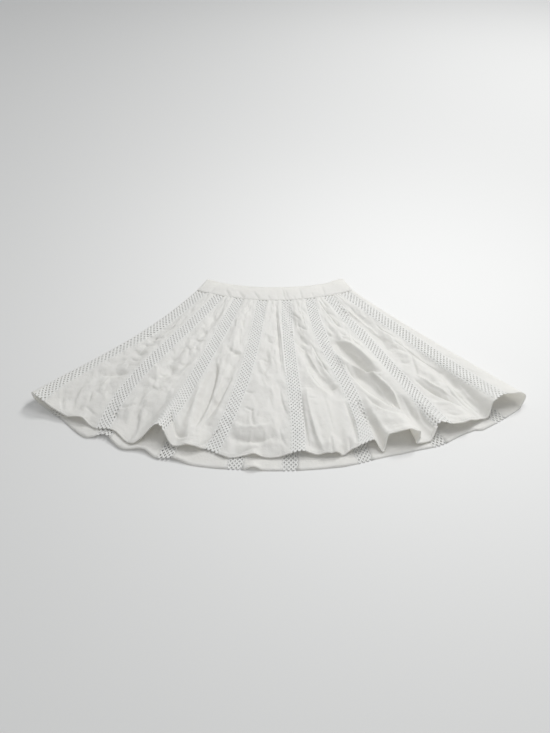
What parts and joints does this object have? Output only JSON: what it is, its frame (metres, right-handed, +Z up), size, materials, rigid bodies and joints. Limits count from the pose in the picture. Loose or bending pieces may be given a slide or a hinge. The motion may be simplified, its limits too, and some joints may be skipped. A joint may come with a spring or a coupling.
{
  "type": "gored skater skirt with crochet insertions",
  "caption": "Flared short skirt laid flat, of plain gores joined by crochet strips, with a contoured waistband, soft rolls down the sides and flutes along the open hem.",
  "frame": {"origin": "on the surface the skirt lies on, under the middle of its outline", "axes": "+Z up from the surface, +Y from the hem to the waist, +X to the right seen from the hem"},
  "size_m": [0.9536, 0.5382, 0.0392],
  "materials": {
    "cotton": "matt, lightly crumpled plain weave",
    "crochet": "matt, open cotton crochet",
    "waistband": "matt, topstitched plain weave"
  },
  "bodies": {
    "root": {"gore_front_1": "cotton", "gore_front_2": "cotton", "gore_front_3": "cotton", "gore_front_4": "cotton", "gore_front_5": "cotton", "gore_front_6": "cotton", "gore_front_7": "cotton", "gore_back_1": "cotton", "gore_back_2": "cotton", "gore_back_3": "cotton", "gore_back_4": "cotton", "gore_back_5": "cotton", "gore_back_6": "cotton", "gore_back_7": "cotton", "gore_side_left": "cotton", "gore_side_right": "cotton", "insertion_front_1": "crochet", "insertion_front_2": "crochet", "insertion_front_3": "crochet", "insertion_front_4": "crochet", "insertion_front_5": "crochet", "insertion_front_6": "crochet", "insertion_front_7": "crochet", "insertion_front_8": "crochet", "insertion_back_1": "crochet", "insertion_back_2": "crochet", "insertion_back_3": "crochet", "insertion_back_4": "crochet", "insertion_back_5": "crochet", "insertion_back_6": "crochet", "insertion_back_7": "crochet", "insertion_back_8": "crochet", "waistband_front": "waistband", "waistband_back": "waistband"}
  },
  "joints": []
}
